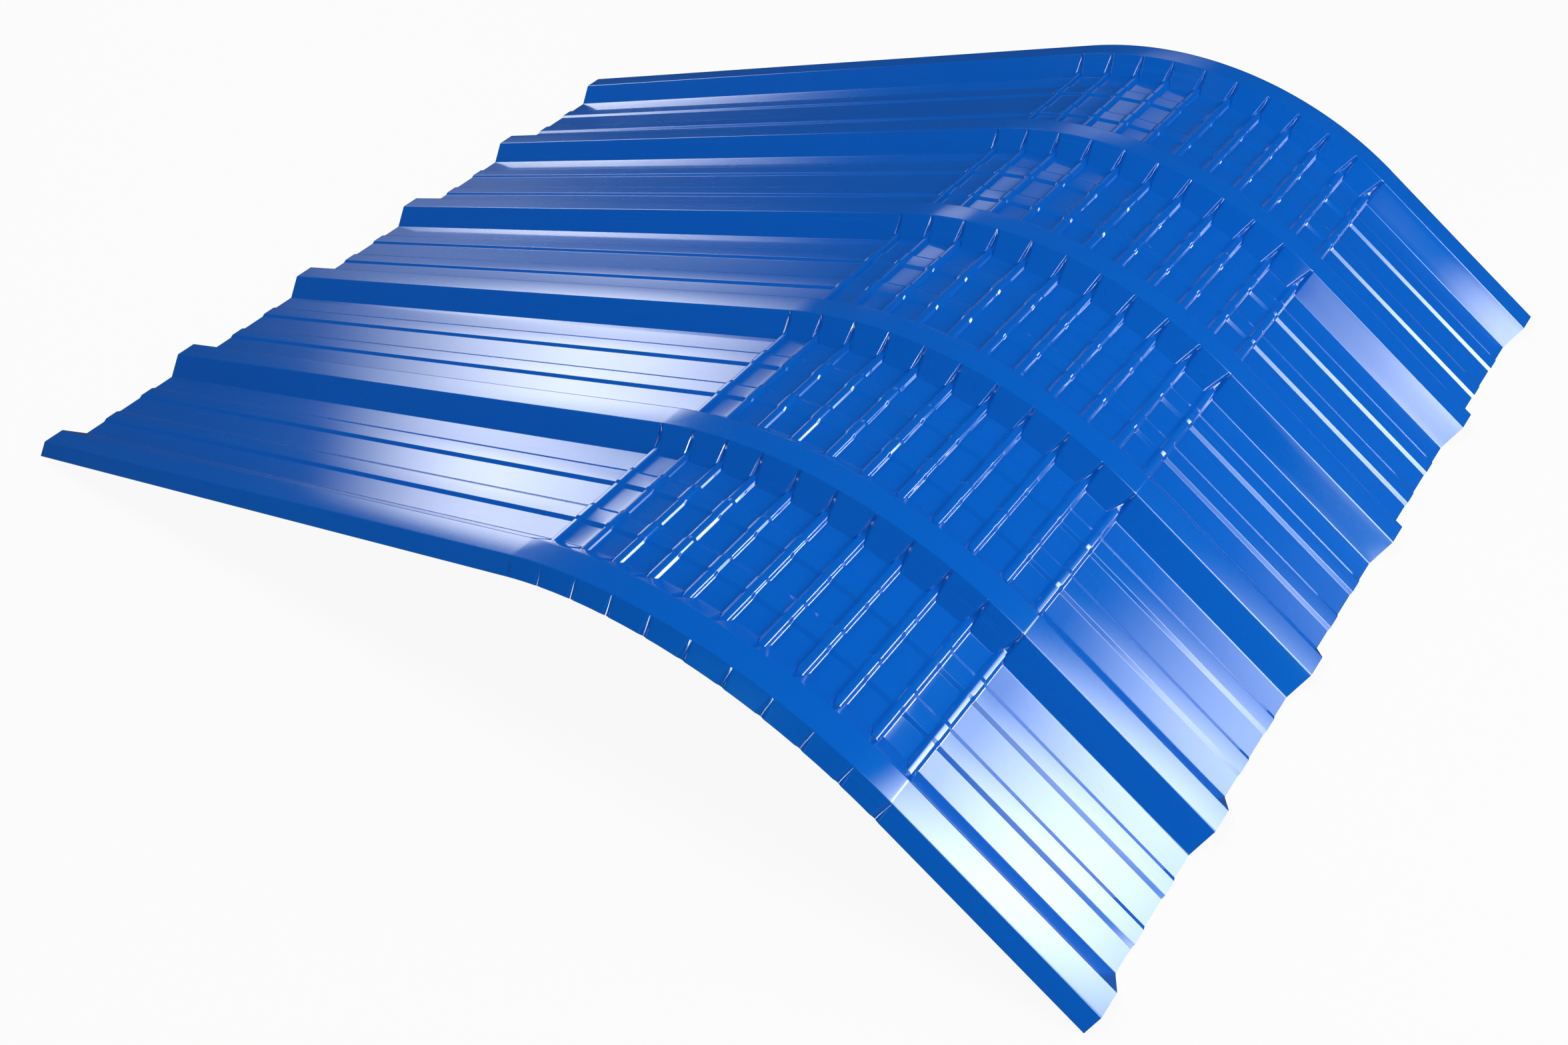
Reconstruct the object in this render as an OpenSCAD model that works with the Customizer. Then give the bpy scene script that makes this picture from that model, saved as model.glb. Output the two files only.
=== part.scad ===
// Crimp-curved trapezoidal roofing sheet.
// One sheet of pre-painted steel is rolled to a profile of ribs and pans. A press then folds
// crimps up across the pans and in along the webs, which shortens that side and bends the sheet.
// It stands as it would on a level floor, arched up on its two cut ends.
// Origin: centre of the footprint, on the floor. X runs along the ribs, from the long leg
// to the short one, Y across the sheet from the front edge to the back, and Z is up.

/* [Profile] */
// Distance from one rib to the next, across the sheet
rib_pitch = 200; // [160:1:300]
// Number of pans, one fewer than the ribs
pan_count = 5; // [2:1:5]
// Height of the ribs over the pans, between the middles of the metal
rib_height = 20; // [14:0.5:40]
// Width of the flat top of a rib
crest_width = 25; // [15:0.5:50]
// Width that each sloping web takes up
web_run = 22.5; // [10:0.5:30]
// Thickness of the painted steel
sheet_thickness = 0.6; // [0.4:0.05:1.2]

/* [Pan beads] */
// Height of the two stiffening beads in each pan
bead_height = 2; // [0.5:0.25:4]
// Width of a bead at its foot
bead_foot = 24; // [18:1:30]
// Width of the flat top of a bead
bead_top = 16; // [6:1:20]
// Distance between the centres of the two beads
bead_spacing = 54; // [44:1:60]

/* [Side edges] */
// How far the front edge is turned down from the first rib's top
front_drop = 12; // [6:0.5:16]
// How far the back edge is turned down from the last rib's top
back_drop = 12; // [6:0.5:16]

/* [Length and curve] */
// Straight length before the curve
long_leg = 887; // [200:1:2000]
// Straight length after the curve
short_leg = 226; // [100:1:1000]
// Angle that the crimps turn the sheet through
curve_angle = 52.4; // [20:0.1:90]

/* [Crimps] */
// Number of crimps along the curve
crimp_count = 11; // [5:1:12]
// Distance from one crimp to the next, along the rib tops
crimp_pitch = 39.5; // [30:0.5:60]
// Width of a crimp at its foot in the pan, along the rib tops
crimp_width = 12.5; // [8:0.5:20]
// Width of a crimp's flat crown in the pan
crimp_crown = 5; // [2:0.5:6]
// Width of a crimp where it runs out, at the top of the web
crimp_tip_width = 4; // [2:0.5:8]
// Height of a crimp over the pan, less by half of a bead's height on the beads
crimp_height = 4; // [1:0.25:6]
// How far a crimp's crown runs into the rib, past the foot of the web
crimp_inset = 8.5; // [4:0.5:10]
// Depth of the dents that the crimps leave in the turned-down side edges
edge_dent = 2.4; // [0:0.1:3]

/* [Hidden] */
SHEET_BLUE = [0.05, 0.33, 0.75];

// Spare length at each end, before the ends are cut square
trim = 5;

pan_width = rib_pitch - crest_width - 2 * web_run;
arc_length = (crimp_count - 1) * crimp_pitch + crimp_tip_width;
crest_radius = arc_length * 180 / (PI * curve_angle);
pan_radius = crest_radius - rib_height;
section_top = rib_height + sheet_thickness / 2;

// Cross-section: points of the metal's middle line, in order from the front edge to the back.
// Each is [across, height over the pan, share of the full crimp width, move at a crimp's crown],
// and the move is [across, up]. Side is -1 for the web in front of a rib, 1 for the one behind.
function web_reach(z) = web_run * (1 - z / rib_height);
function web_slope(side) = [side * rib_height, web_run] / norm([rib_height, web_run]);
function foot(y, side) = [y, 0, 1, [-side * crimp_inset, crimp_height]];
function pan_point(y, z) = [y, z, 1, [0, crimp_height - z / 2]];
function rib_top(rib_y) = [for (y = [rib_y, rib_y + crest_width]) [y, rib_height, 0, [0, 0]]];
function side_edge(crest_y, side, drop) =
    [
        crest_y + side * web_reach(rib_height - drop),
        rib_height - drop,
        drop / rib_height,
        -edge_dent * web_slope(side)
    ];

function bead(centre) = [
    pan_point(centre - bead_foot / 2, 0),
    pan_point(centre - bead_top / 2, bead_height),
    pan_point(centre + bead_top / 2, bead_height),
    pan_point(centre + bead_foot / 2, 0)
];

// One rib top and the pan behind it, as far as the next rib
function rib_and_pan(rib_y) =
    let (
        pan_start = rib_y + crest_width + web_run,
        pan_centre = pan_start + pan_width / 2
    )
    concat(
        rib_top(rib_y),
        [foot(pan_start, 1)],
        bead(pan_centre - bead_spacing / 2),
        bead(pan_centre + bead_spacing / 2),
        [foot(pan_start + pan_width, -1)]
    );

last_rib_y = pan_count * rib_pitch;
section = concat(
    [side_edge(0, -1, front_drop)],
    [for (i = [0 : pan_count - 1]) each rib_and_pan(i * rib_pitch)],
    rib_top(last_rib_y),
    [side_edge(last_rib_y + crest_width, 1, back_drop)]
);
point_count = len(section);

// Way that a point moves when the metal's upper face moves out by 1, mitred at the folds
function normal(a, b) = let (run = b.x - a.x, rise = b.y - a.y) [-rise, run] / norm([run, rise]);
function mitre(i) =
    let (
        before = max(i, 1),
        after = min(i, point_count - 2),
        n1 = normal(section[before - 1], section[before]),
        n2 = normal(section[after], section[after + 1])
    )
    (n1 + n2) / (1 + n1 * n2);
mitres = [for (i = [0 : point_count - 1]) mitre(i)];

// Stations along the sheet: [place along the rib tops, share of a crimp's half width to add,
// share of a crimp's move]. A crimp has its two feet and the two edges of its crown.
crown_share = crimp_crown / crimp_width;
function crimp_centre(i) = crimp_tip_width / 2 + i * crimp_pitch;
stations = concat(
    [[-long_leg - trim, 0, 0]],
    [
        for (i = [0 : crimp_count - 1]) each
            [for (place = [[-1, 0], [-crown_share, 1], [crown_share, 1], [1, 0]])
                [crimp_centre(i), place.x, place.y]]
    ],
    [[arc_length + short_leg + trim, 0, 0]]
);
station_count = len(stations);

function crimp_half_width(share) = (crimp_tip_width + (crimp_width - crimp_tip_width) * share) / 2;

// Straight before the curve, turned about the Y axis in it, and straight after it
function bend(s, y, z) =
    let (
        a = min(max(s, 0), arc_length) / arc_length * curve_angle,
        straight_before = min(s, 0),
        straight_after = max(s - arc_length, 0),
        r = pan_radius + z
    )
    [
        r * sin(a) + straight_before + straight_after * cos(a),
        y,
        r * cos(a) - straight_after * sin(a)
    ];

// Points of one face of the sheet, station by station: side is 1 for the top, -1 beneath
function face_points(side) = [
    for (station = stations, i = [0 : point_count - 1])
        let (
            point = section[i],
            share = point[2],
            moved = [point.x, point.y] + station[2] * point[3]
                + side * sheet_thickness / 2 * mitres[i]
        )
        bend(station[0] + station[1] * crimp_half_width(share), moved.x, moved.y)
];
sheet_points = concat(face_points(1), face_points(-1));

function top(station, i) = station * point_count + i;
function under(station, i) = station_count * point_count + top(station, i);
function quad(a, b, c, d) = [[a, b, c], [a, c, d]];

last_point = point_count - 1;
last_station = station_count - 1;
sheet_faces = concat(
    [
        for (s = [0 : last_station - 1], i = [0 : last_point - 1]) each concat(
            quad(top(s, i), top(s, i + 1), top(s + 1, i + 1), top(s + 1, i)),
            quad(under(s, i), under(s + 1, i), under(s + 1, i + 1), under(s, i + 1))
        )
    ],
    [
        for (i = [0 : last_point - 1]) each concat(
            quad(top(0, i), under(0, i), under(0, i + 1), top(0, i + 1)),
            quad(top(last_station, i), top(last_station, i + 1),
                under(last_station, i + 1), under(last_station, i))
        )
    ],
    [
        for (s = [0 : last_station - 1]) each concat(
            quad(top(s, 0), top(s + 1, 0), under(s + 1, 0), under(s, 0)),
            quad(top(s, last_point), under(s, last_point),
                under(s + 1, last_point), top(s + 1, last_point))
        )
    ]
);

// How the curved sheet stands: both cut ends have their lower edges on the floor
end_s = arc_length + short_leg;
long_foot = bend(-long_leg, 0, -sheet_thickness / 2);
short_foot = bend(end_s, 0, -sheet_thickness / 2);
floor_angle = atan2(short_foot.z - long_foot.z, short_foot.x - long_foot.x);
function stood(p) = [
    p.x * cos(floor_angle) + p.z * sin(floor_angle),
    p.y,
    p.z * cos(floor_angle) - p.x * sin(floor_angle)
];
left_x = stood(bend(-long_leg, 0, section_top)).x;
right_x = stood(bend(end_s, 0, section_top)).x;
across = [for (p = sheet_points) p.y];

// Box that cuts one end square: it starts at the end, and takes the spare length off
module end_cut() {
    reach = 2 * (section_top + rib_height);
    translate([0, min(across) - trim, pan_radius - rib_height])
        cube([2 * trim, max(across) - min(across) + 2 * trim, reach]);
}

module roofing_sheet() {
    color(SHEET_BLUE)
        translate([-(left_x + right_x) / 2, -(min(across) + max(across)) / 2, -stood(long_foot).z])
            rotate([0, floor_angle, 0])
                difference() {
                    polyhedron(points = sheet_points, faces = sheet_faces);
                    translate([-long_leg - 2 * trim, 0, 0]) end_cut();
                    rotate([0, curve_angle, 0]) translate([short_leg, 0, 0]) end_cut();
                }
}

roofing_sheet();
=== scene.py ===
# Looks of the crimp-curved trapezoidal roofing sheet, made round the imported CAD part.
# The sheet is one piece of pre-painted steel. Its middle surface is built here with rounded
# folds and pressed crimps, Geometry Nodes repeat the crimped stretch round the curve, and
# Solidify gives it the metal's thickness. Lengths are in metres, angles in degrees.

import math

import bpy
import numpy as np
from mathutils import Matrix, Vector

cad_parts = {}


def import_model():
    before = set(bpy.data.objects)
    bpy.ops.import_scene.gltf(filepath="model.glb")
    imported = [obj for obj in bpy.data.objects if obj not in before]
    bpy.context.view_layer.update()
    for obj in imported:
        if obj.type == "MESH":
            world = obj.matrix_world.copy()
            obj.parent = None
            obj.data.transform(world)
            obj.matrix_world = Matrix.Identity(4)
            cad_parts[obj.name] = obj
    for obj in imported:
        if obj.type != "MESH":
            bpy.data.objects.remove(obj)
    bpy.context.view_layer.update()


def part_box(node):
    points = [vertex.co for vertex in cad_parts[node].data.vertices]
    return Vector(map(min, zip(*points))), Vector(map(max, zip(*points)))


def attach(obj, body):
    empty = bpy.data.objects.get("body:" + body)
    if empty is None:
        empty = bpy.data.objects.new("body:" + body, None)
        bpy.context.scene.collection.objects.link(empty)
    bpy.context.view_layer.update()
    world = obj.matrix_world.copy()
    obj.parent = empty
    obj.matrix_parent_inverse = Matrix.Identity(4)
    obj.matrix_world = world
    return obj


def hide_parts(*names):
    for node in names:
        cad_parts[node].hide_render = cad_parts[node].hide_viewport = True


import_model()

# Sizes of the rolled profile, as in the part's source
RIB_PITCH = 0.200
PAN_COUNT = 5
RIB_HEIGHT = 0.020
CREST_WIDTH = 0.025
WEB_RUN = 0.0225
THICKNESS = 0.0006
BEAD_HEIGHT = 0.002
BEAD_FOOT = 0.024
BEAD_TOP = 0.016
BEAD_SPACING = 0.054
EDGE_DROP = 0.012
PAN_WIDTH = RIB_PITCH - CREST_WIDTH - 2 * WEB_RUN

# Length, curve and crimps, as in the part's source
LONG_LEG = 0.887
SHORT_LEG = 0.226
CURVE_ANGLE = math.radians(52.4)
CRIMP_COUNT = 11
CRIMP_PITCH = 0.0395
CRIMP_TIP_WIDTH = 0.004
CRIMP_HEIGHT = 0.004
CRIMP_INSET = 0.0085
EDGE_DENT = 0.0024
ARC_LENGTH = (CRIMP_COUNT - 1) * CRIMP_PITCH + CRIMP_TIP_WIDTH
PAN_RADIUS = ARC_LENGTH / CURVE_ANGLE - RIB_HEIGHT
FIRST_CRIMP = CRIMP_TIP_WIDTH / 2

# What rolling and pressing leave. The crimps are a little fuller than the solid's, the folds
# that they make in the webs are hollowed and pinched at their bottoms, and the flats between
# them are dished.
FOLD_RADIUS = 0.0022
BEAD_RADIUS = 0.0012
PRESSED_WIDTH = 0.0110
PRESSED_CROWN = 0.0064
CRIMP_SHOULDER_RADIUS = 0.0024
CRIMP_FOOT_RADIUS = 0.0028
FOLD_PINCH = 0.35
CELL_DISH = 0.00035
WEB_FOLD_HOLLOW = 0.0021

# Unevenness of the whole sheet: how far it swings, the waves in a metre and the seed of their
# noise. It fades out towards the two cut ends. The top level is over the noise's highest value,
# so the sheet is only pushed inwards and stays in the solid's box.
UNEVENNESS = 0.00025
UNEVENNESS_SCALE = 9.0
UNEVENNESS_SEED = 7
UNEVENNESS_FADE = 12.0
UNEVENNESS_TOP = 1.2

# How finely the surface is divided: steps of the arcs, and longest spans across the sheet
FOLD_STEPS = 2
BEAD_STEPS = 1
CRIMP_STEPS = 3
LONGEST_SPAN = 0.018
LONGEST_WEB_SPAN = 0.0075

# Where lines cross the sheet besides those of the crimps: in each half flat between two crimps,
# as shares of it, on the long leg, from where the curve starts, and on the short leg, the first
# from where the curve ends and the others back from the cut end
FLAT_PLACES = (0.4, 1)
LONG_LEG_PLACES = (-0.75, -0.6, -0.45, -0.3, -0.18, -0.09, -0.04)
SHORT_LEG_START = 0.02
SHORT_LEG_PLACES = (0.15, 0.09, 0.04, 0)

# The finished piece: points nearer than this are one, and sharper folds than this stay sharp
MERGE_DISTANCE = 1e-5
SHARP_ANGLE = math.radians(65)

# Finish of the paint and the backing: roughness where clean, and how much full haze adds to it
# or takes from the gloss
PAINT_ROUGHNESS = 0.26
PAINT_DULLING = 0.12
GLOSS_ROUGHNESS = 0.06
GLOSS_IOR = 2.0
BACKING_ROUGHNESS = 0.42
BACKING_DULLING = 0.1
ORANGE_PEEL_SCALE = 420.0
STEEL_GRAIN_SCALE = 900.0

# Colours, in linear light
PAINT_BLUE = (0.001, 0.145, 0.71, 1)
HAZED_BLUE = (0.004, 0.16, 0.71, 1)
PAINT_SHEEN = (0.0, 0.45, 1, 1)
BACKING_GREY = (0.52, 0.53, 0.54, 1)
HAZED_GREY = (0.45, 0.46, 0.47, 1)
CUT_STEEL = (0.56, 0.57, 0.6, 1)
FLOOR_GREY = (0.8, 0.8, 0.8, 1)
WHITE = (1, 1, 1, 1)
SKY = (0.9, 0.95, 1.0, 1)

# Studio: what the camera and the paint see of the floor and the world
FLOOR_HALF_SIZE = 40
FLOOR_WHITE_SHARE = 0.93
FLOOR_MIRRORED = 0.04
SKY_LEVEL = 0.02

# The camera at the photograph's viewing angle, solved from the corners of ribs and webs
CAMERA_PLACE = (0.962298, -1.069450, 1.083907)
CAMERA_RIGHT = (0.80218035, 0.58696209, -0.10946314)
CAMERA_UP = (-0.33124582, 0.59001752, 0.73631211)
CAMERA_FORWARD = (-0.49677247, 0.55439591, -0.66772921)
SENSOR_WIDTH_MM = 36
LENS_MM = 35.017

# Lamps that only light the sheet, and lamps that it mirrors as well. Each has a name, azimuth,
# elevation and distance, width and height, radiance, and then the roll and the share of the
# width over which its light falls off to each edge.
KEY_LAMPS = (
    ("key", -150, 80, 3.2, 0.9, 0.9, 17.0),
    ("left_key", -85, 55, 3.2, 0.9, 0.9, 11.5),
)
MIRRORED_LAMPS = (
    ("front_panel", 178, 28, 3.0, 1.3, 0.36, 6.0, 0, 0.2),
    ("left_back_panel", -68.6, 21.6, 2.8, 1.38, 0.45, 3.1, -51, 0.40),
    ("left_wide_panel", -61.3, 16.8, 2.85, 1.70, 0.78, 3.5, -31, 0.49),
    ("left_low_panel", -64.2, 4.3, 3.0, 1.25, 0.45, 0.17, -12, 0.42),
    ("right_back_panel", 74.8, 26.6, 2.8, 2.54, 1.29, 8.3, -40, 0.50),
    ("right_front_panel", 102.5, 26.0, 2.6, 1.0, 0.60, 5.5, -2, 0.45),
    ("right_glow", 111.5, 29.0, 2.65, 0.6, 1.0, 1.8, -11, 0.46),
    ("right_fold_panel", 112, 15, 2.7, 0.8, 0.65, 10.0, 0, 0.25),
    ("right_low_panel", 66, 9.5, 2.8, 0.95, 0.42, 11.0, -11, 0.2),
    ("back_panel", -32.7, 29.6, 2.95, 0.62, 0.60, 0.9, 3, 0.45),
    ("rear_glow", -16, 30, 2.95, 1.2, 0.75, 0.42, 0, 0.45),
)


def rounded(corners, radii, steps):
    """A line of corners, with each inner one rounded by an arc of its own number of steps."""
    points = [corners[0]]
    triples = zip(corners, corners[1:], corners[2:])
    for (before, corner, after), radius, count in zip(triples, radii, steps):
        back = np.subtract(before, corner)
        ahead = np.subtract(after, corner)
        back, ahead = back / np.linalg.norm(back), ahead / np.linalg.norm(ahead)
        opening = math.acos(np.clip(back @ ahead, -1, 1))
        turn = math.pi - opening
        reach = radius * math.tan(turn / 2)
        middle = (back + ahead) / np.linalg.norm(back + ahead)
        centre = corner + middle * math.hypot(radius, reach)
        start = corner + back * reach - centre
        end = corner + ahead * reach - centre
        for step in range(count + 1):
            t = step / count
            swept = math.sin((1 - t) * turn) * start + math.sin(t * turn) * end
            points.append(centre + swept / math.sin(turn))
    points.append(corners[-1])
    return np.array(points)


def divided(points, longest, longest_steep):
    """The same line, with its longer spans divided evenly, and more closely on the webs."""
    result = [points[0]]
    for a, b in zip(points, points[1:]):
        limit = longest_steep if abs(b[1] - a[1]) > BEAD_HEIGHT else longest
        parts = max(1, math.ceil(np.linalg.norm(b - a) / limit - 1e-6))
        result += [a + (b - a) * (i + 1) / parts for i in range(parts)]
    return np.array(result)


def side_corner(crest_edge, side):
    """The cut edge of a turned-down side, and how a crimp dents it."""
    slope = math.hypot(RIB_HEIGHT, WEB_RUN)
    place = (crest_edge + side * WEB_RUN * EDGE_DROP / RIB_HEIGHT, RIB_HEIGHT - EDGE_DROP)
    dent = (-EDGE_DENT * side * RIB_HEIGHT / slope, -EDGE_DENT * WEB_RUN / slope)
    return place, EDGE_DROP / RIB_HEIGHT, dent, 0, 1


def section_corners():
    """Corners of the profile, from the front edge to the back: place, share of a crimp's full
    width, move at a crimp's crown, fold radius and steps of its arc."""
    rows = [side_corner(0, -1)]
    for rib in range(PAN_COUNT + 1):
        front = rib * RIB_PITCH
        back = front + CREST_WIDTH
        rows += [((y, RIB_HEIGHT), 0, (0, 0), FOLD_RADIUS, FOLD_STEPS) for y in (front, back)]
        if rib == PAN_COUNT:
            rows.append(side_corner(back, 1))
            break
        foot = back + WEB_RUN
        rows.append(((foot, 0), 1, (-CRIMP_INSET, CRIMP_HEIGHT), FOLD_RADIUS, FOLD_STEPS))
        for spacing in (-BEAD_SPACING, BEAD_SPACING):
            centre = foot + (PAN_WIDTH + spacing) / 2
            for y, z in (
                (centre - BEAD_FOOT / 2, 0), (centre - BEAD_TOP / 2, BEAD_HEIGHT),
                (centre + BEAD_TOP / 2, BEAD_HEIGHT), (centre + BEAD_FOOT / 2, 0),
            ):
                rows.append(((y, z), 1, (0, CRIMP_HEIGHT - z / 2), BEAD_RADIUS, BEAD_STEPS))
        next_foot = (foot + PAN_WIDTH, 0)
        rows.append((next_foot, 1, (CRIMP_INSET, CRIMP_HEIGHT), FOLD_RADIUS, FOLD_STEPS))
    return [list(column) for column in zip(*rows)]


corners, corner_shares, corner_moves, radii, arc_steps = section_corners()
section = divided(
    rounded(corners, radii[1:-1], arc_steps[1:-1]), LONGEST_SPAN, LONGEST_WEB_SPAN
)
corner_places = [y for y, z in corners]
share = np.interp(section[:, 0], corner_places, corner_shares)
# 1 halfway up a web, 0 at its foot and its top
mid_web = 4 * share * (1 - share)
moves = np.stack(
    [np.interp(section[:, 0], corner_places, [m[i] for m in corner_moves]) for i in (0, 1)], 1
)
spans = np.diff(section, axis=0)
span_lengths = np.linalg.norm(spans, axis=1)
span_normals = np.stack([-spans[:, 1], spans[:, 0]], 1) / span_lengths[:, None]
before = np.vstack([span_normals[:1], span_normals])
after = np.vstack([span_normals, span_normals[-1:]])
mitres = (before + after) / (1 + (before * after).sum(1))[:, None]
# The webs' folds are hollowed, but not the dents of the two turned-down edges
inner = (section[:, 0] > 0) & (section[:, 0] < PAN_COUNT * RIB_PITCH + CREST_WIDTH)
moves -= mitres * (inner * WEB_FOLD_HOLLOW * mid_web)[:, None]
across = np.concatenate([[0], np.cumsum(span_lengths)])


def crimp_stations():
    """Half a crimp and half the flat cell beyond it, from the crown out. Each is
    [share of the half width, share of the height, share of the half cell]."""
    crown, foot = PRESSED_CROWN / 2, PRESSED_WIDTH / 2
    past_foot = 1.6 * foot
    line = [(-crown, CRIMP_HEIGHT), (crown, CRIMP_HEIGHT), (foot, 0), (past_foot, 0)]
    arc = rounded(line, [CRIMP_SHOULDER_RADIUS, CRIMP_FOOT_RADIUS], [CRIMP_STEPS] * 2)[1:-1]
    half = [(0, 1.0, 0)]
    half += [(d / foot, h / CRIMP_HEIGHT, 0) for d, h in arc]
    half += [(arc[-1][0] / foot, 0, t) for t in FLAT_PLACES]
    return half


HALF = crimp_stations()


def half_width(part):
    """Half of a crimp's width, where it has a given part of its full width."""
    return (CRIMP_TIP_WIDTH + (PRESSED_WIDTH - CRIMP_TIP_WIDTH) * part) / 2


def bend(s, y, z):
    """Straight before the curve, turned about the Y axis in it, and straight after it."""
    turn = np.clip(s, 0, ARC_LENGTH) / ARC_LENGTH * CURVE_ANGLE
    before, after = np.minimum(s, 0), np.maximum(s - ARC_LENGTH, 0)
    r = PAN_RADIUS + z
    x = r * np.sin(turn) + before + after * np.cos(turn)
    return np.stack([x, y + 0 * x, r * np.cos(turn) - after * np.sin(turn)], -1)


def station(centre, side, width_share, height_share, cell_share, dish):
    """One line of points across the sheet, at a crimp's station or in the cell beside it."""
    pinched = width_share
    if width_share < 1:
        pinched = max(0, width_share - FOLD_PINCH) / (1 - FOLD_PINCH)
    place = (width_share + mid_web * (pinched - width_share)) * half_width(share)
    offset = place + cell_share * (CRIMP_PITCH / 2 - place)
    sink = dish * share * (1 - (1 - cell_share) ** 2)
    moved = section + height_share * moves - mitres * sink[:, None]
    s = centre + side * offset
    return bend(s, moved[:, 0], moved[:, 1]), s


def plain_station(s):
    """One line of points across the sheet, where nothing is pressed into it."""
    places = np.full(len(section), s)
    return bend(places, section[:, 0], section[:, 1]), places


def surface(name, lines):
    """A mesh of quads through lines of points, with the place along and across the sheet."""
    points = np.concatenate([p for p, s in lines])
    along = np.concatenate([s for p, s in lines])
    n = len(section)
    faces = [
        (i * n + j, (i + 1) * n + j, (i + 1) * n + j + 1, i * n + j + 1)
        for i in range(len(lines) - 1) for j in range(n - 1)
    ]
    mesh = bpy.data.meshes.new(name)
    mesh.from_pydata(points.tolist(), [], faces)
    for label, values in (("along", along), ("across", np.tile(across, len(lines)))):
        mesh.attributes.new(label, "FLOAT", "POINT").data.foreach_set("value", values)
    obj = bpy.data.objects.new(name, mesh)
    bpy.context.scene.collection.objects.link(obj)
    return obj


def crimped_slice():
    """From one crimp's crown to the next one's."""
    a, b = FIRST_CRIMP, FIRST_CRIMP + CRIMP_PITCH
    lines = [station(a, 1, *row, CELL_DISH) for row in HALF]
    lines += [station(b, -1, *row, CELL_DISH) for row in reversed(HALF[:-1])]
    return surface("crimped_slice", lines)


def legs():
    """Both straight ends of the sheet, each with half of its nearest crimp."""
    last = FIRST_CRIMP + (CRIMP_COUNT - 1) * CRIMP_PITCH
    half = [row for row in HALF if row[2] == 0]
    end = ARC_LENGTH + SHORT_LEG
    left = [plain_station(s) for s in (-LONG_LEG, *LONG_LEG_PLACES)]
    left += [station(FIRST_CRIMP, -1, *row, 0) for row in reversed(half)]
    right = [station(last, 1, *row, 0) for row in half]
    right.append(plain_station(ARC_LENGTH + SHORT_LEG_START))
    right += [plain_station(end - from_end) for from_end in SHORT_LEG_PLACES]
    return surface("long_leg", left), surface("short_leg", right)


class Nodes:
    """Adds and links nodes in a tree."""

    def __init__(self, tree):
        self.tree = tree

    def add(self, kind, inputs=None, **settings):
        node = self.tree.nodes.new(kind)
        for key, value in settings.items():
            setattr(node, key, value)
        for key, value in (inputs or {}).items():
            self.put(value, node.inputs[key])
        return node

    def put(self, value, socket):
        if isinstance(value, bpy.types.NodeSocket):
            self.tree.links.new(value, socket)
        else:
            socket.default_value = value

    def math(self, operation, a, b=0.0, clamp=False):
        node = self.add("ShaderNodeMath", {0: a, 1: b}, operation=operation, use_clamp=clamp)
        return node.outputs[0]


def noise(n, place, scale, detail, **others):
    """Soft noise from about 0 to 1, for geometry or shader trees."""
    values = {"Vector": place, "Scale": scale, "Detail": detail, **others}
    return n.add("ShaderNodeTexNoise", values).outputs[0]


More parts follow.
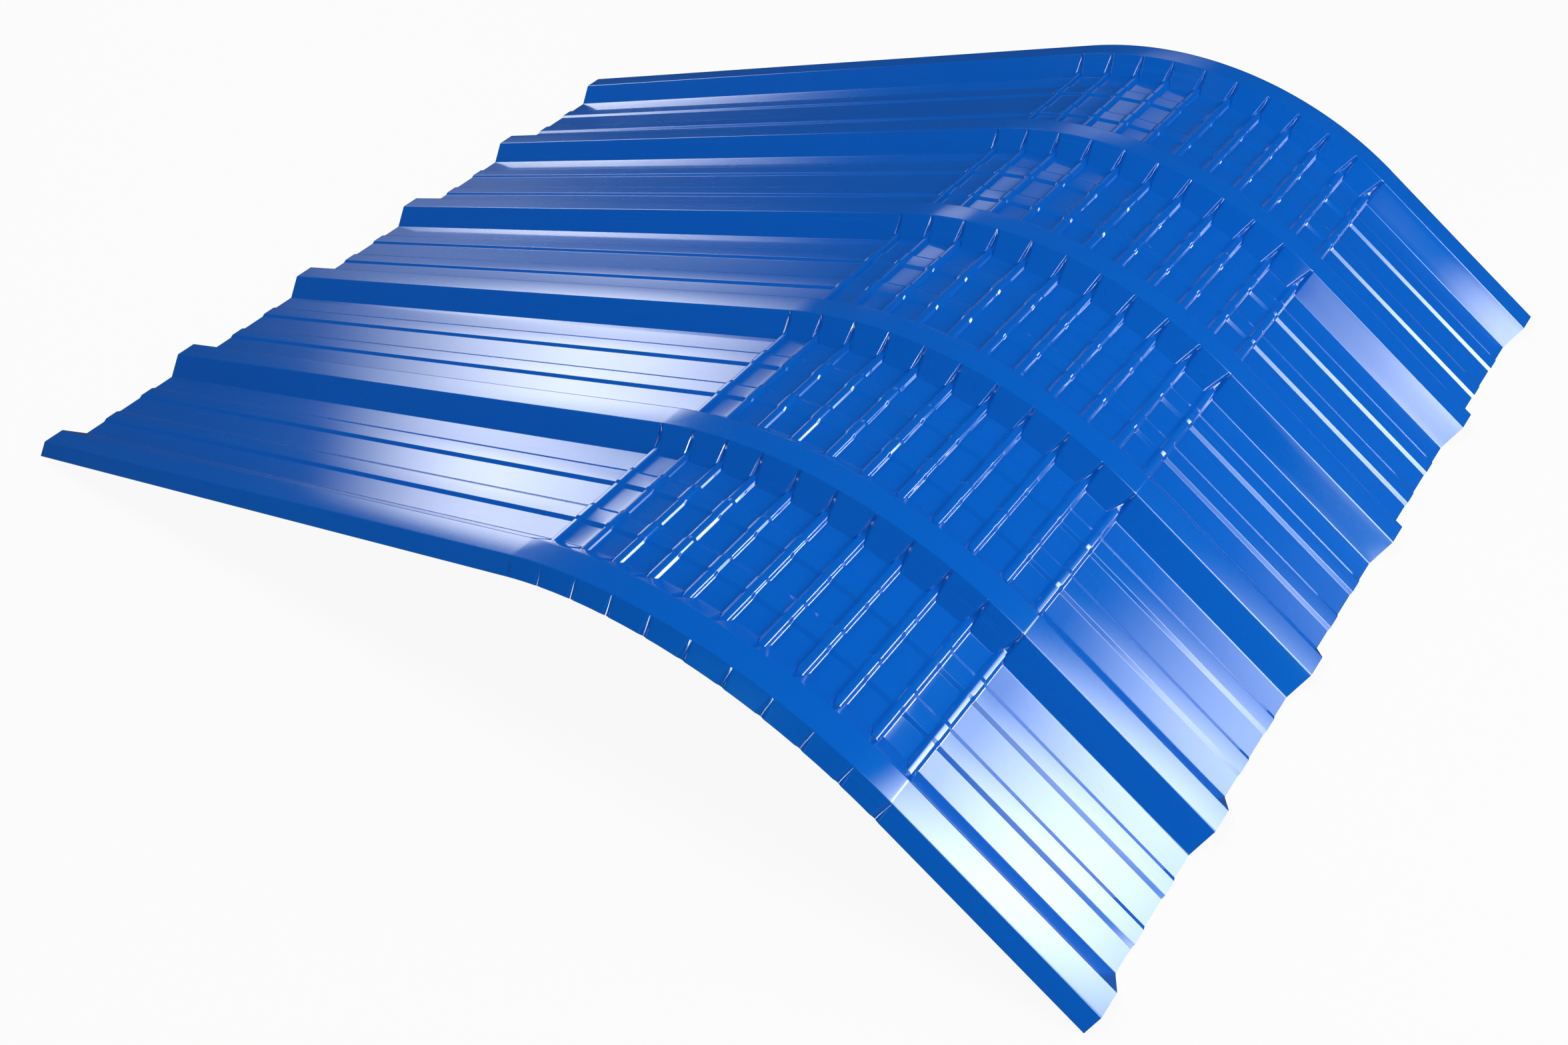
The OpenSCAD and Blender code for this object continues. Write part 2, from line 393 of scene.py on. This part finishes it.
def curving_tree():
    """Geometry Nodes that repeat the crimped slice round the curve and join the legs to it."""
    tree = bpy.data.node_groups.new("crimped_curve", "GeometryNodeTree")
    io = tree.interface
    io.new_socket("Slice", in_out="INPUT", socket_type="NodeSocketGeometry")
    for name, kind in (
        ("Long leg", "Object"), ("Short leg", "Object"), ("Slices", "Int"), ("Turn", "Float"),
        ("Run", "Float"), ("Unevenness", "Float"), ("Seed", "Int"), ("Start", "Float"),
        ("End", "Float"), ("Stand turn", "Vector"), ("Stand place", "Vector"),
        ("Paint", "Material"),
    ):
        io.new_socket(name, in_out="INPUT", socket_type="NodeSocket" + kind)
    io.new_socket("Sheet", in_out="OUTPUT", socket_type="NodeSocketGeometry")
    n = Nodes(tree)
    given = n.add("NodeGroupInput").outputs
    points = n.add("GeometryNodePoints", {"Count": given["Slices"]})
    index = n.add("GeometryNodeInputIndex").outputs[0]
    turn = n.add("ShaderNodeCombineXYZ", {"Y": n.math("MULTIPLY", index, given["Turn"])})
    placed = n.add(
        "GeometryNodeInstanceOnPoints",
        {"Points": points.outputs[0], "Instance": given["Slice"], "Rotation": turn.outputs[0]},
    )
    marked = n.add(
        "GeometryNodeStoreNamedAttribute",
        {"Geometry": placed.outputs[0], "Name": "slice_start",
         "Value": n.math("MULTIPLY", index, given["Run"])},
        data_type="FLOAT", domain="INSTANCE",
    )
    real = n.add("GeometryNodeRealizeInstances", {"Geometry": marked.outputs[0]})
    ends = [
        n.add("GeometryNodeObjectInfo", {"Object": given[name]})
        for name in ("Long leg", "Short leg")
    ]
    joined = n.add("GeometryNodeJoinGeometry")
    for source in (real.outputs[0], ends[0].outputs["Geometry"], ends[1].outputs["Geometry"]):
        n.put(source, joined.inputs[0])
    merged = n.add(
        "GeometryNodeMergeByDistance",
        {"Geometry": joined.outputs[0], "Distance": MERGE_DISTANCE},
    )
    along, start = (
        n.add("GeometryNodeInputNamedAttribute", {"Name": name}, data_type="FLOAT").outputs[0]
        for name in ("along", "slice_start")
    )
    place = n.math("ADD", along, start)
    placed_along = n.add(
        "GeometryNodeStoreNamedAttribute",
        {"Geometry": merged.outputs[0], "Name": "along", "Value": place},
        data_type="FLOAT", domain="POINT",
    )
    shifted = n.add(
        "ShaderNodeVectorMath",
        {0: n.add("GeometryNodeInputPosition").outputs[0], 1: given["Seed"]}, operation="ADD",
    )
    waves = noise(n, shifted.outputs[0], UNEVENNESS_SCALE, 1.0)
    from_start, to_end = (
        n.math("MULTIPLY", n.math("SUBTRACT", *way), UNEVENNESS_FADE, clamp=True)
        for way in ((place, given["Start"]), (given["End"], place))
    )
    inwards = n.math("SUBTRACT", waves, UNEVENNESS_TOP)
    swing = n.math("MULTIPLY", inwards, given["Unevenness"])
    swing = n.math("MULTIPLY", swing, n.math("MULTIPLY", from_start, to_end))
    push = n.add(
        "ShaderNodeVectorMath",
        {0: n.add("GeometryNodeInputNormal").outputs[0], "Scale": swing}, operation="SCALE",
    )
    uneven = n.add(
        "GeometryNodeSetPosition",
        {"Geometry": placed_along.outputs[0], "Offset": push.outputs[0]},
    )
    stood = n.add(
        "GeometryNodeTransform",
        {"Geometry": uneven.outputs[0], "Translation": given["Stand place"],
         "Rotation": given["Stand turn"]},
    )
    smooth = n.add("GeometryNodeSetShadeSmooth", {"Geometry": stood.outputs[0]})
    whole = n.add("GeometryNodeRealizeInstances", {"Geometry": smooth.outputs[0]})
    painted = n.add(
        "GeometryNodeSetMaterial", {"Geometry": whole.outputs[0], "Material": given["Paint"]},
    )
    n.add("NodeGroupOutput", {"Sheet": painted.outputs[0]})
    return tree


def group(name, inputs, outputs, build):
    """A shader node group with float inputs (and their usual values), built once."""
    tree = bpy.data.node_groups.new(name, "ShaderNodeTree")
    for label, value in inputs:
        socket = tree.interface.new_socket(label, in_out="INPUT", socket_type="NodeSocketFloat")
        socket.default_value = value
    for label, kind in outputs:
        tree.interface.new_socket(label, in_out="OUTPUT", socket_type="NodeSocket" + kind)
    n = Nodes(tree)
    made = build(n, n.add("NodeGroupInput").outputs)
    n.add("NodeGroupOutput", made)
    return tree


def object_place(n):
    return n.add("ShaderNodeTexCoord").outputs["Object"]


def sheet_place(n, along_scale, across_scale):
    """The place on the flat sheet before it was folded, stretched along or across."""
    along, across_it = (
        n.add("ShaderNodeAttribute", attribute_name=name, attribute_type="GEOMETRY").outputs["Fac"]
        for name in ("along", "across")
    )
    return n.add(
        "ShaderNodeCombineXYZ",
        {"X": n.math("MULTIPLY", along, along_scale),
         "Y": n.math("MULTIPLY", across_it, across_scale)},
    ).outputs[0]


def above(n, value, threshold, gain):
    """How far a value lies above a threshold, times a gain, from 0 to 1."""
    return n.math("MULTIPLY", n.math("SUBTRACT", value, threshold), gain, clamp=True)


def build_orange_peel(n, given):
    """The fine texture of sprayed or rolled paint."""
    return {"Height": noise(n, object_place(n), given["Scale"], 1.5)}


def build_rolling_lines(n, given):
    """Faint lines along the sheet, as the rolls leave them."""
    fine = noise(n, sheet_place(n, 1.2, 260), 1.0, 3.0)
    broad = noise(n, sheet_place(n, 2.5, 45), 1.0, 2.0)
    mixed = n.math("ADD", n.math("MULTIPLY", fine, 0.35), broad)
    return {"Height": n.math("MULTIPLY", mixed, given["Strength"])}


def build_handling(n, given):
    """Patches of dull haze, and streaks rubbed along the sheet."""
    cloud = noise(n, object_place(n), 5.0, 5.0, Roughness=0.65)
    soft = above(n, cloud, 0.45, 3.0)
    streaks = noise(n, sheet_place(n, 6, 120), 1.0, 4.0)
    rubbed = above(n, streaks, 0.62, 6.0)
    mask = n.math("MAXIMUM", n.math("MULTIPLY", soft, 0.5), rubbed)
    return {"Mask": n.math("MULTIPLY", mask, given["Amount"], clamp=True)}


orange_peel = group(
    "orange_peel", [("Scale", ORANGE_PEEL_SCALE)], [("Height", "Float")], build_orange_peel
)
rolling_lines = group(
    "rolling_lines", [("Strength", 1.0)], [("Height", "Float")], build_rolling_lines
)
handling = group("handling_haze", [("Amount", 1.0)], [("Mask", "Float")], build_handling)


def material(name):
    made = bpy.data.materials.new(name)
    made.use_nodes = True
    made.node_tree.nodes.clear()
    return made, Nodes(made.node_tree)


def use(n, tree, values):
    """The output of a shared node group."""
    return n.add("ShaderNodeGroup", values, node_tree=tree).outputs[0]


def mix_colour(n, mask, a, b):
    node = n.add("ShaderNodeMix", data_type="RGBA")
    n.put(mask, node.inputs["Factor"])
    n.put(a, [s for s in node.inputs if s.name == "A" and s.type == "RGBA"][0])
    n.put(b, [s for s in node.inputs if s.name == "B" and s.type == "RGBA"][0])
    return [s for s in node.outputs if s.type == "RGBA"][0]


def blue_paint():
    made, n = material("gloss_blue_paint")
    haze = use(n, handling, {"Amount": 0.6})
    lines = use(n, rolling_lines, {"Strength": 1.0})
    peel = use(n, orange_peel, {"Scale": ORANGE_PEEL_SCALE})
    colour = mix_colour(n, haze, PAINT_BLUE, HAZED_BLUE)
    dulling = n.math("MULTIPLY", haze, PAINT_DULLING)
    rough = n.math("ADD", dulling, PAINT_ROUGHNESS)
    gloss = n.math("SUBTRACT", 1.0, dulling)
    low = n.add("ShaderNodeBump", {"Height": lines, "Strength": 0.25, "Distance": 0.0004})
    fine = n.add("ShaderNodeBump", {"Height": peel, "Strength": 0.1, "Distance": 0.0002,
                                    "Normal": low.outputs[0]})
    shader = n.add(
        "ShaderNodeBsdfPrincipled",
        {"Base Color": colour, "Roughness": rough, "IOR": 1.5, "Specular IOR Level": 0.6,
         "Specular Tint": PAINT_SHEEN, "Normal": fine.outputs[0], "Coat Weight": gloss,
         "Coat Roughness": GLOSS_ROUGHNESS, "Coat IOR": GLOSS_IOR},
    )
    n.add("ShaderNodeOutputMaterial", {"Surface": shader.outputs[0]})
    return made


def backing_coat():
    made, n = material("grey_backing_coat")
    haze = use(n, handling, {"Amount": 1.0})
    lines = use(n, rolling_lines, {"Strength": 1.0})
    colour = mix_colour(n, haze, BACKING_GREY, HAZED_GREY)
    rough = n.math("ADD", n.math("MULTIPLY", haze, BACKING_DULLING), BACKING_ROUGHNESS)
    low = n.add("ShaderNodeBump", {"Height": lines, "Strength": 0.3, "Distance": 0.0004})
    shader = n.add(
        "ShaderNodeBsdfPrincipled",
        {"Base Color": colour, "Roughness": rough, "Normal": low.outputs[0]},
    )
    n.add("ShaderNodeOutputMaterial", {"Surface": shader.outputs[0]})
    return made


def cut_steel():
    made, n = material("cut_steel_edge")
    grain = noise(n, object_place(n), STEEL_GRAIN_SCALE, 2.0)
    rough = n.math("ADD", n.math("MULTIPLY", grain, 0.2), 0.3)
    shader = n.add(
        "ShaderNodeBsdfPrincipled",
        {"Base Color": CUT_STEEL, "Metallic": 1.0, "Roughness": rough},
    )
    n.add("ShaderNodeOutputMaterial", {"Surface": shader.outputs[0]})
    return made


# How the curved sheet stands: both cut ends have their lower edges on the floor
long_foot = bend(np.array(-LONG_LEG), 0, -THICKNESS / 2)
short_foot = bend(np.array(ARC_LENGTH + SHORT_LEG), 0, -THICKNESS / 2)
STAND_ANGLE = math.atan2(short_foot[2] - long_foot[2], short_foot[0] - long_foot[0])


def stood(p):
    c, s = math.cos(STAND_ANGLE), math.sin(STAND_ANGLE)
    return Vector((p[0] * c + p[2] * s, p[1], p[2] * c - p[0] * s))


cad_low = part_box("roofing_sheet")[0]
section_top = RIB_HEIGHT + THICKNESS / 2
left_x = stood(bend(np.array(-LONG_LEG), 0, section_top)).x
stand_place = Vector((
    cad_low[0] - left_x,
    -(PAN_COUNT * RIB_PITCH + CREST_WIDTH) / 2,
    -stood(long_foot).z,
))


def made_plain(piece):
    """Turns what the modifiers make of a piece into its own mesh."""
    evaluated = piece.evaluated_get(bpy.context.evaluated_depsgraph_get())
    piece.data = bpy.data.meshes.new_from_object(evaluated)
    piece.modifiers.clear()


def painted_sheet():
    piece = crimped_slice()
    piece.name = "painted_sheet"
    ends = legs()
    tree = curving_tree()
    curve = piece.modifiers.new("crimped_curve", "NODES")
    curve.node_group = tree
    values = {
        "Long leg": ends[0], "Short leg": ends[1], "Slices": CRIMP_COUNT - 1,
        "Turn": CRIMP_PITCH / ARC_LENGTH * CURVE_ANGLE, "Run": CRIMP_PITCH,
        "Unevenness": UNEVENNESS, "Seed": UNEVENNESS_SEED, "Start": -LONG_LEG,
        "End": ARC_LENGTH + SHORT_LEG, "Stand turn": (0, STAND_ANGLE, 0),
        "Stand place": stand_place, "Paint": blue_paint(),
    }
    for item in tree.interface.items_tree:
        if item.in_out == "INPUT" and item.name in values:
            curve[item.identifier] = values[item.name]
    made_plain(piece)
    # The first slot is the slice's own empty one
    piece.data.materials.pop(index=0)
    for end in ends:
        bpy.data.objects.remove(end)
    for finish in (backing_coat(), cut_steel()):
        piece.data.materials.append(finish)
    thick = piece.modifiers.new("thickness", "SOLIDIFY")
    thick.thickness = THICKNESS
    thick.offset = 0
    # The backing coat goes on the underside and bare steel on the cut edges
    thick.material_offset = 1
    thick.material_offset_rim = 2
    made_plain(piece)
    piece.data.set_sharp_from_angle(angle=SHARP_ANGLE)
    piece.modifiers.new("weighted_normal", "WEIGHTED_NORMAL").keep_sharp = True
    made_plain(piece)
    return piece


sheet = painted_sheet()
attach(sheet, "root")
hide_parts("roofing_sheet")


def floor():
    """White to the camera but for the shadow, matt to light, and nearly dark in reflections."""
    made, n = material("studio_floor")
    path = n.add("ShaderNodeLightPath").outputs
    seen = n.math("MAXIMUM", path["Is Camera Ray"], path["Is Transmission Ray"])
    matt = n.add("ShaderNodeBsdfDiffuse", {"Color": FLOOR_GREY})
    white = n.add("ShaderNodeEmission", {"Color": WHITE, "Strength": 1.0})
    mirrored = n.add("ShaderNodeEmission", {"Color": WHITE, "Strength": FLOOR_MIRRORED})
    paint_sees = n.add(
        "ShaderNodeMixShader",
        {0: path["Is Glossy Ray"], 1: matt.outputs[0], 2: mirrored.outputs[0]},
    )
    mixed = n.add(
        "ShaderNodeMixShader",
        {0: n.math("MULTIPLY", seen, FLOOR_WHITE_SHARE), 1: paint_sees.outputs[0],
         2: white.outputs[0]},
    )
    n.add("ShaderNodeOutputMaterial", {"Surface": mixed.outputs[0]})
    mesh = bpy.data.meshes.new("studio_floor")
    r = FLOOR_HALF_SIZE
    mesh.from_pydata([(-r, -r, 0), (r, -r, 0), (r, r, 0), (-r, r, 0)], [], [(0, 1, 2, 3)])
    mesh.materials.append(made)
    obj = bpy.data.objects.new("studio_floor", mesh)
    bpy.context.scene.collection.objects.link(obj)


def direction(azimuth, elevation):
    """Azimuth runs from +Y towards +X, elevation up from the floor."""
    a, e = math.radians(azimuth), math.radians(elevation)
    return Vector((math.sin(a) * math.cos(e), math.cos(a) * math.cos(e), math.sin(e)))


def panel(name, azimuth, elevation, distance, width, height, radiance, roll=0, fade=0.1,
          mirrored=True):
    """A flat soft box that faces the sheet; radiance 1 is white, and fade is the share of
    its width over which its light falls off to each edge."""
    lamp = bpy.data.lights.new(name, "AREA")
    lamp.shape = "RECTANGLE"
    lamp.size, lamp.size_y = width, height
    lamp.energy = radiance * width * height * math.pi
    lamp.use_nodes = True
    lamp.node_tree.nodes.clear()
    n = Nodes(lamp.node_tree)
    place = n.add("ShaderNodeNewGeometry").outputs["Parametric"]
    sides = n.add("ShaderNodeSeparateXYZ", {0: place}).outputs
    falls = [
        n.add("ShaderNodeMapRange",
              {"Value": n.math("ABSOLUTE", n.math("SUBTRACT", sides[i], 0.5)),
               "From Min": 0.5, "From Max": 0.5 - fade, "To Min": 0.0, "To Max": 1.0},
              interpolation_type="SMOOTHSTEP").outputs[0]
        for i in (0, 1)
    ]
    glow = n.add("ShaderNodeEmission", {"Strength": n.math("MULTIPLY", *falls)})
    n.add("ShaderNodeOutputLight", {"Surface": glow.outputs[0]})
    obj = bpy.data.objects.new(name, lamp)
    obj.visible_glossy = mirrored
    obj.location = direction(azimuth, elevation) * distance
    facing = (-direction(azimuth, elevation)).to_track_quat("-Z", "Y").to_matrix()
    obj.rotation_euler = (facing @ Matrix.Rotation(math.radians(roll), 3, "Z")).to_euler()
    bpy.context.scene.collection.objects.link(obj)


def world():
    """White behind the sheet, and a faint even light all round."""
    sky = bpy.data.worlds.new("studio")
    bpy.context.scene.world = sky
    sky.use_nodes = True
    sky.node_tree.nodes.clear()
    n = Nodes(sky.node_tree)
    path = n.add("ShaderNodeLightPath").outputs
    seen = n.math("MAXIMUM", path["Is Camera Ray"], path["Is Transmission Ray"])
    glow = n.add("ShaderNodeBackground", {"Color": SKY, "Strength": SKY_LEVEL})
    white = n.add("ShaderNodeBackground", {"Color": WHITE, "Strength": 1.0})
    mixed = n.add("ShaderNodeMixShader", {0: seen, 1: glow.outputs[0], 2: white.outputs[0]})
    n.add("ShaderNodeOutputWorld", {"Surface": mixed.outputs[0]})


def camera():
    lens = bpy.data.cameras.new("camera")
    lens.sensor_fit = "HORIZONTAL"
    lens.sensor_width = SENSOR_WIDTH_MM
    lens.lens = LENS_MM
    obj = bpy.data.objects.new("camera", lens)
    obj.location = CAMERA_PLACE
    axes = (CAMERA_RIGHT, CAMERA_UP, -Vector(CAMERA_FORWARD))
    obj.rotation_euler = Matrix(axes).transposed().to_euler()
    bpy.context.scene.collection.objects.link(obj)
    bpy.context.scene.camera = obj


floor()
world()
for lamp in KEY_LAMPS:
    panel(*lamp, mirrored=False)
for lamp in MIRRORED_LAMPS:
    panel(*lamp)
camera()
bpy.context.scene.view_settings.view_transform = "Standard"
